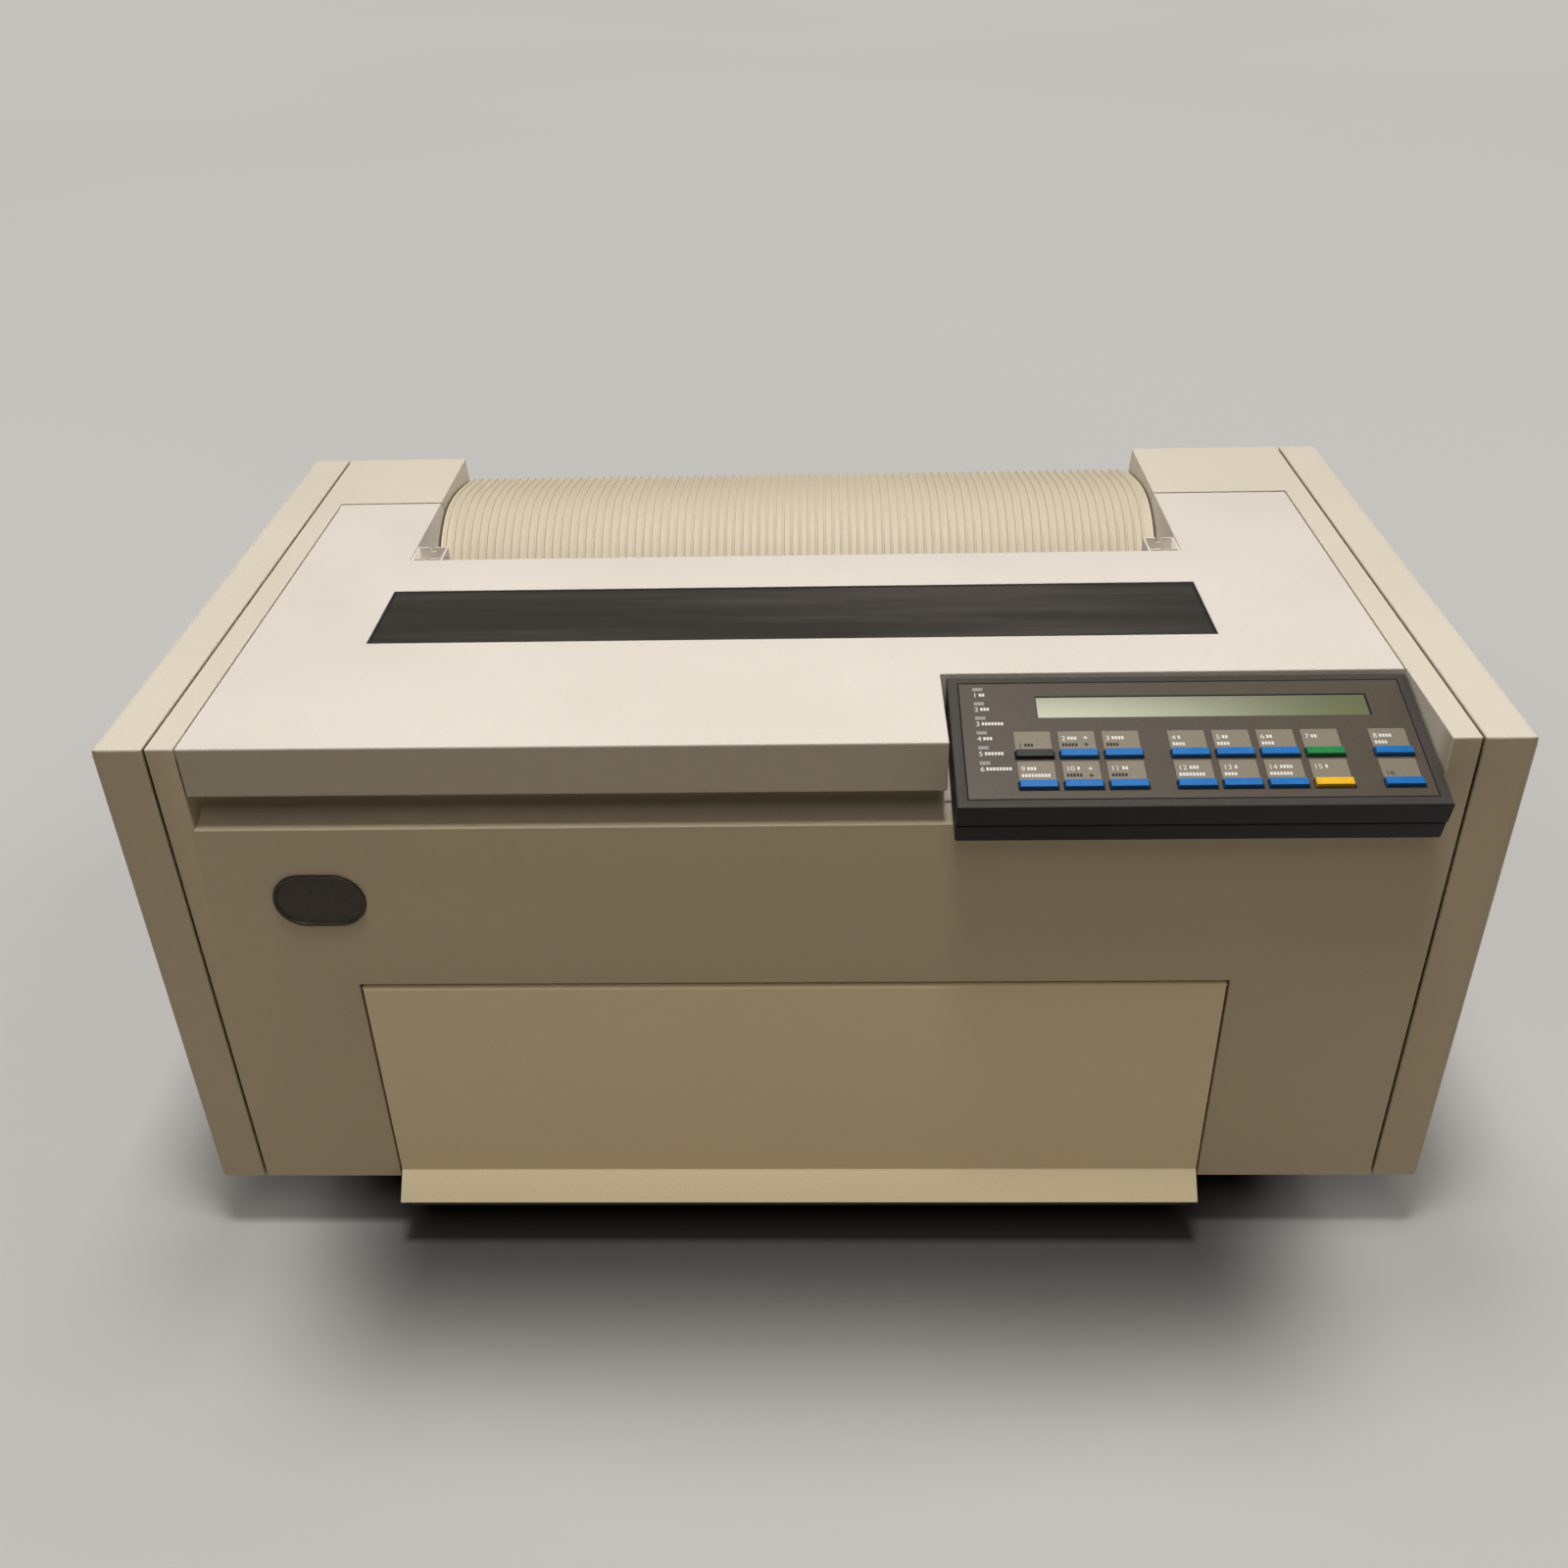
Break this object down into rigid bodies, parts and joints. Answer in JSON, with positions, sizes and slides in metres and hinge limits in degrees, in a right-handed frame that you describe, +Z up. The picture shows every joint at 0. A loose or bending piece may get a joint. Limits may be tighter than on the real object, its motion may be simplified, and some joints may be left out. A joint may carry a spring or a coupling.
{
  "type": "dot matrix printer",
  "caption": "Wide-carriage desktop dot matrix printer with a hinged windowed lid, a front forms door, a tilted operator panel, a ribbed paper guide and a working carriage and tractor feed.",
  "frame": {"origin": "middle of the rectangle that the printer covers, on the table", "axes": "+X to the right as seen from the front, +Y from front to back, +Z up"},
  "size_m": [0.64, 0.4384, 0.3096],
  "materials": {
    "pan_steel": "satin",
    "rubber": "matte",
    "cream_plastic": "fine texture",
    "lid_plastic": "fine texture",
    "smoked_window": "smooth",
    "steel": "brushed",
    "bronze_badge": "satin",
    "charcoal_plastic": "fine texture",
    "panel_film": "satin",
    "display_glass": "smooth",
    "lamp_plastic": "smooth",
    "key_black": "satin",
    "key_blue": "satin",
    "key_green": "satin",
    "key_yellow": "satin",
    "zinc_steel": "zinc plated",
    "platen_rubber": "matte",
    "black_plastic": "satin",
    "head_aluminium": "cast",
    "belt_rubber": "matte",
    "motor_metal": "satin",
    "brass": "machined",
    "white_nylon": "satin",
    "grey_plastic": "satin",
    "lever_blue": "satin",
    "electronics_metal": "satin"
  },
  "bodies": {
    "chassis": {"base_pan": "pan_steel", "rubber_feet": "rubber", "main_cover": "cream_plastic", "left_side_cover": "cream_plastic", "right_side_cover": "cream_plastic", "rear_cover": "cream_plastic", "hinge_pins": "steel", "badge": "bronze_badge", "panel_base": "charcoal_plastic", "panel_top": "charcoal_plastic", "panel_overlay": "panel_film", "display": "display_glass", "indicator_lights": "lamp_plastic", "paper_guide": "cream_plastic", "left_frame": "zinc_steel", "right_frame": "zinc_steel", "guide_rods": "steel", "carriage_belt": "belt_rubber", "carriage_motor": "motor_metal", "feed_motor": "motor_metal", "electronics": "electronics_metal", "rear_sockets": "black_plastic"},
    "lid": {"lid": "lid_plastic", "lid_window": "smoked_window"},
    "front_door": {"front_door": "cream_plastic"},
    "carriage": {"carriage": "black_plastic", "print_head": "head_aluminium", "ribbon_cartridge": "black_plastic"},
    "ribbon_knob": {"ribbon_knob": "lever_blue"},
    "platen": {"platen": "platen_rubber", "platen_shaft": "steel"},
    "idler": {"idler_gear": "white_nylon"},
    "pinion": {"feed_pinion": "brass"},
    "tractor_shaft": {"tractor_shaft": "steel"},
    "left_tractor": {"left_tractor": "grey_plastic"},
    "right_tractor": {"right_tractor": "grey_plastic"},
    "left_sprocket": {"left_sprocket": "white_nylon"},
    "right_sprocket": {"right_sprocket": "white_nylon"},
    "left_tractor_door": {"left_tractor_door": "grey_plastic"},
    "right_tractor_door": {"right_tractor_door": "grey_plastic"},
    "drive_pulley": {"drive_pulley": "steel"},
    "tension_pulley": {"tension_pulley": "steel"},
    "gap_lever": {"gap_lever": "lever_blue"},
    "power_switch": {"power_switch": "black_plastic"},
    "key_01": {"key_01": "key_black"},
    "key_02": {"key_02": "key_blue"},
    "key_03": {"key_03": "key_blue"},
    "key_04": {"key_04": "key_blue"},
    "key_05": {"key_05": "key_blue"},
    "key_06": {"key_06": "key_blue"},
    "key_07": {"key_07": "key_green"},
    "key_08": {"key_08": "key_blue"},
    "key_09": {"key_09": "key_blue"},
    "key_10": {"key_10": "key_blue"},
    "key_11": {"key_11": "key_blue"},
    "key_12": {"key_12": "key_blue"},
    "key_13": {"key_13": "key_blue"},
    "key_14": {"key_14": "key_blue"},
    "key_15": {"key_15": "key_yellow"},
    "key_16": {"key_16": "key_blue"}
  },
  "joints": [
    {"name": "lid_hinge", "type": "hinge", "parent": "chassis", "child": "lid", "pos_m": [0, 0.07465, 0.2972], "axis": [-1, 0, 0], "range_deg": [0, 68]},
    {"name": "front_door_hinge", "type": "hinge", "parent": "chassis", "child": "front_door", "pos_m": [0, -0.19735, 0.1691], "axis": [-1, 0, 0], "range_deg": [0, 80]},
    {"name": "key_01_press", "type": "slide", "parent": "chassis", "child": "key_01", "axis": [0, 0.2521, -0.9677], "range_m": [0, 0.0014], "stiffness_N_per_m": 250},
    {"name": "key_02_press", "type": "slide", "parent": "chassis", "child": "key_02", "axis": [0, 0.2521, -0.9677], "range_m": [0, 0.0014], "stiffness_N_per_m": 250},
    {"name": "key_03_press", "type": "slide", "parent": "chassis", "child": "key_03", "axis": [0, 0.2521, -0.9677], "range_m": [0, 0.0014], "stiffness_N_per_m": 250},
    {"name": "key_04_press", "type": "slide", "parent": "chassis", "child": "key_04", "axis": [0, 0.2521, -0.9677], "range_m": [0, 0.0014], "stiffness_N_per_m": 250},
    {"name": "key_05_press", "type": "slide", "parent": "chassis", "child": "key_05", "axis": [0, 0.2521, -0.9677], "range_m": [0, 0.0014], "stiffness_N_per_m": 250},
    {"name": "key_06_press", "type": "slide", "parent": "chassis", "child": "key_06", "axis": [0, 0.2521, -0.9677], "range_m": [0, 0.0014], "stiffness_N_per_m": 250},
    {"name": "key_07_press", "type": "slide", "parent": "chassis", "child": "key_07", "axis": [0, 0.2521, -0.9677], "range_m": [0, 0.0014], "stiffness_N_per_m": 250},
    {"name": "key_08_press", "type": "slide", "parent": "chassis", "child": "key_08", "axis": [0, 0.2521, -0.9677], "range_m": [0, 0.0014], "stiffness_N_per_m": 250},
    {"name": "key_09_press", "type": "slide", "parent": "chassis", "child": "key_09", "axis": [0, 0.2521, -0.9677], "range_m": [0, 0.0014], "stiffness_N_per_m": 250},
    {"name": "key_10_press", "type": "slide", "parent": "chassis", "child": "key_10", "axis": [0, 0.2521, -0.9677], "range_m": [0, 0.0014], "stiffness_N_per_m": 250},
    {"name": "key_11_press", "type": "slide", "parent": "chassis", "child": "key_11", "axis": [0, 0.2521, -0.9677], "range_m": [0, 0.0014], "stiffness_N_per_m": 250},
    {"name": "key_12_press", "type": "slide", "parent": "chassis", "child": "key_12", "axis": [0, 0.2521, -0.9677], "range_m": [0, 0.0014], "stiffness_N_per_m": 250},
    {"name": "key_13_press", "type": "slide", "parent": "chassis", "child": "key_13", "axis": [0, 0.2521, -0.9677], "range_m": [0, 0.0014], "stiffness_N_per_m": 250},
    {"name": "key_14_press", "type": "slide", "parent": "chassis", "child": "key_14", "axis": [0, 0.2521, -0.9677], "range_m": [0, 0.0014], "stiffness_N_per_m": 250},
    {"name": "key_15_press", "type": "slide", "parent": "chassis", "child": "key_15", "axis": [0, 0.2521, -0.9677], "range_m": [0, 0.0014], "stiffness_N_per_m": 250},
    {"name": "key_16_press", "type": "slide", "parent": "chassis", "child": "key_16", "axis": [0, 0.2521, -0.9677], "range_m": [0, 0.0014], "stiffness_N_per_m": 250},
    {"name": "carriage_slide", "type": "slide", "parent": "chassis", "child": "carriage", "axis": [1, 0, 0], "range_m": [-0.172, 0.172]},
    {"name": "drive_pulley_spin", "type": "hinge", "parent": "chassis", "child": "drive_pulley", "pos_m": [0.193, -0.09585, 0.192], "axis": [0, 1, 0], "range_deg": [-1120, 1120]},
    {"name": "tension_pulley_spin", "type": "hinge", "parent": "chassis", "child": "tension_pulley", "pos_m": [-0.2144, -0.09585, 0.192], "axis": [0, 1, 0], "range_deg": [-1120, 1120]},
    {"name": "ribbon_knob_spin", "type": "hinge", "parent": "carriage", "child": "ribbon_knob", "pos_m": [-0.0325, -0.06185, 0.256], "axis": [0, 0, 1], "continuous": true},
    {"name": "platen_spin", "type": "hinge", "parent": "chassis", "child": "platen", "pos_m": [0, 0.00415, 0.23], "axis": [1, 0, 0], "continuous": true},
    {"name": "idler_spin", "type": "hinge", "parent": "chassis", "child": "idler", "pos_m": [0.2275, -0.0558, 0.18248], "axis": [1, 0, 0], "continuous": true},
    {"name": "pinion_spin", "type": "hinge", "parent": "chassis", "child": "pinion", "pos_m": [0.2275, -0.01627, 0.13537], "axis": [1, 0, 0], "continuous": true},
    {"name": "tractor_shaft_spin", "type": "hinge", "parent": "chassis", "child": "tractor_shaft", "pos_m": [0, -0.11576, 0.13496], "axis": [1, 0, 0], "continuous": true},
    {"name": "left_tractor_slide", "type": "slide", "parent": "chassis", "child": "left_tractor", "axis": [1, 0, 0], "range_m": [-0.01, 0.15]},
    {"name": "left_sprocket_spin", "type": "hinge", "parent": "left_tractor", "child": "left_sprocket", "pos_m": [-0.1924, -0.11576, 0.13496], "axis": [1, 0, 0], "continuous": true},
    {"name": "left_tractor_door_hinge", "type": "hinge", "parent": "left_tractor", "child": "left_tractor_door", "pos_m": [-0.2069, -0.13596, 0.13496], "axis": [0, 0, -1], "range_deg": [0, 110]},
    {"name": "right_tractor_slide", "type": "slide", "parent": "chassis", "child": "right_tractor", "axis": [1, 0, 0], "range_m": [-0.15, 0.01]},
    {"name": "right_sprocket_spin", "type": "hinge", "parent": "right_tractor", "child": "right_sprocket", "pos_m": [0.179, -0.11576, 0.13496], "axis": [1, 0, 0], "continuous": true},
    {"name": "right_tractor_door_hinge", "type": "hinge", "parent": "right_tractor", "child": "right_tractor_door", "pos_m": [0.1935, -0.13596, 0.13496], "axis": [0, 0, 1], "range_deg": [0, 110]},
    {"name": "gap_lever_turn", "type": "hinge", "parent": "chassis", "child": "gap_lever", "pos_m": [-0.234, 0.02515, 0.244], "axis": [1, 0, 0], "range_deg": [-15, 15]},
    {"name": "power_switch_rock", "type": "hinge", "parent": "chassis", "child": "power_switch", "pos_m": [-0.208, 0.21165, 0.062], "axis": [1, 0, 0], "range_deg": [-16, 0]}
  ],
  "couplings": [
    {"joint": "drive_pulley_spin", "follows": "carriage_slide", "rad_per_m": 111.11},
    {"joint": "tension_pulley_spin", "follows": "carriage_slide", "rad_per_m": 111.11},
    {"joint": "idler_spin", "follows": "platen_spin", "ratio": -0.64516},
    {"joint": "pinion_spin", "follows": "platen_spin", "ratio": 2},
    {"joint": "tractor_shaft_spin", "follows": "platen_spin", "ratio": 1},
    {"joint": "left_sprocket_spin", "follows": "platen_spin", "ratio": 1},
    {"joint": "right_sprocket_spin", "follows": "platen_spin", "ratio": 1}
  ]
}
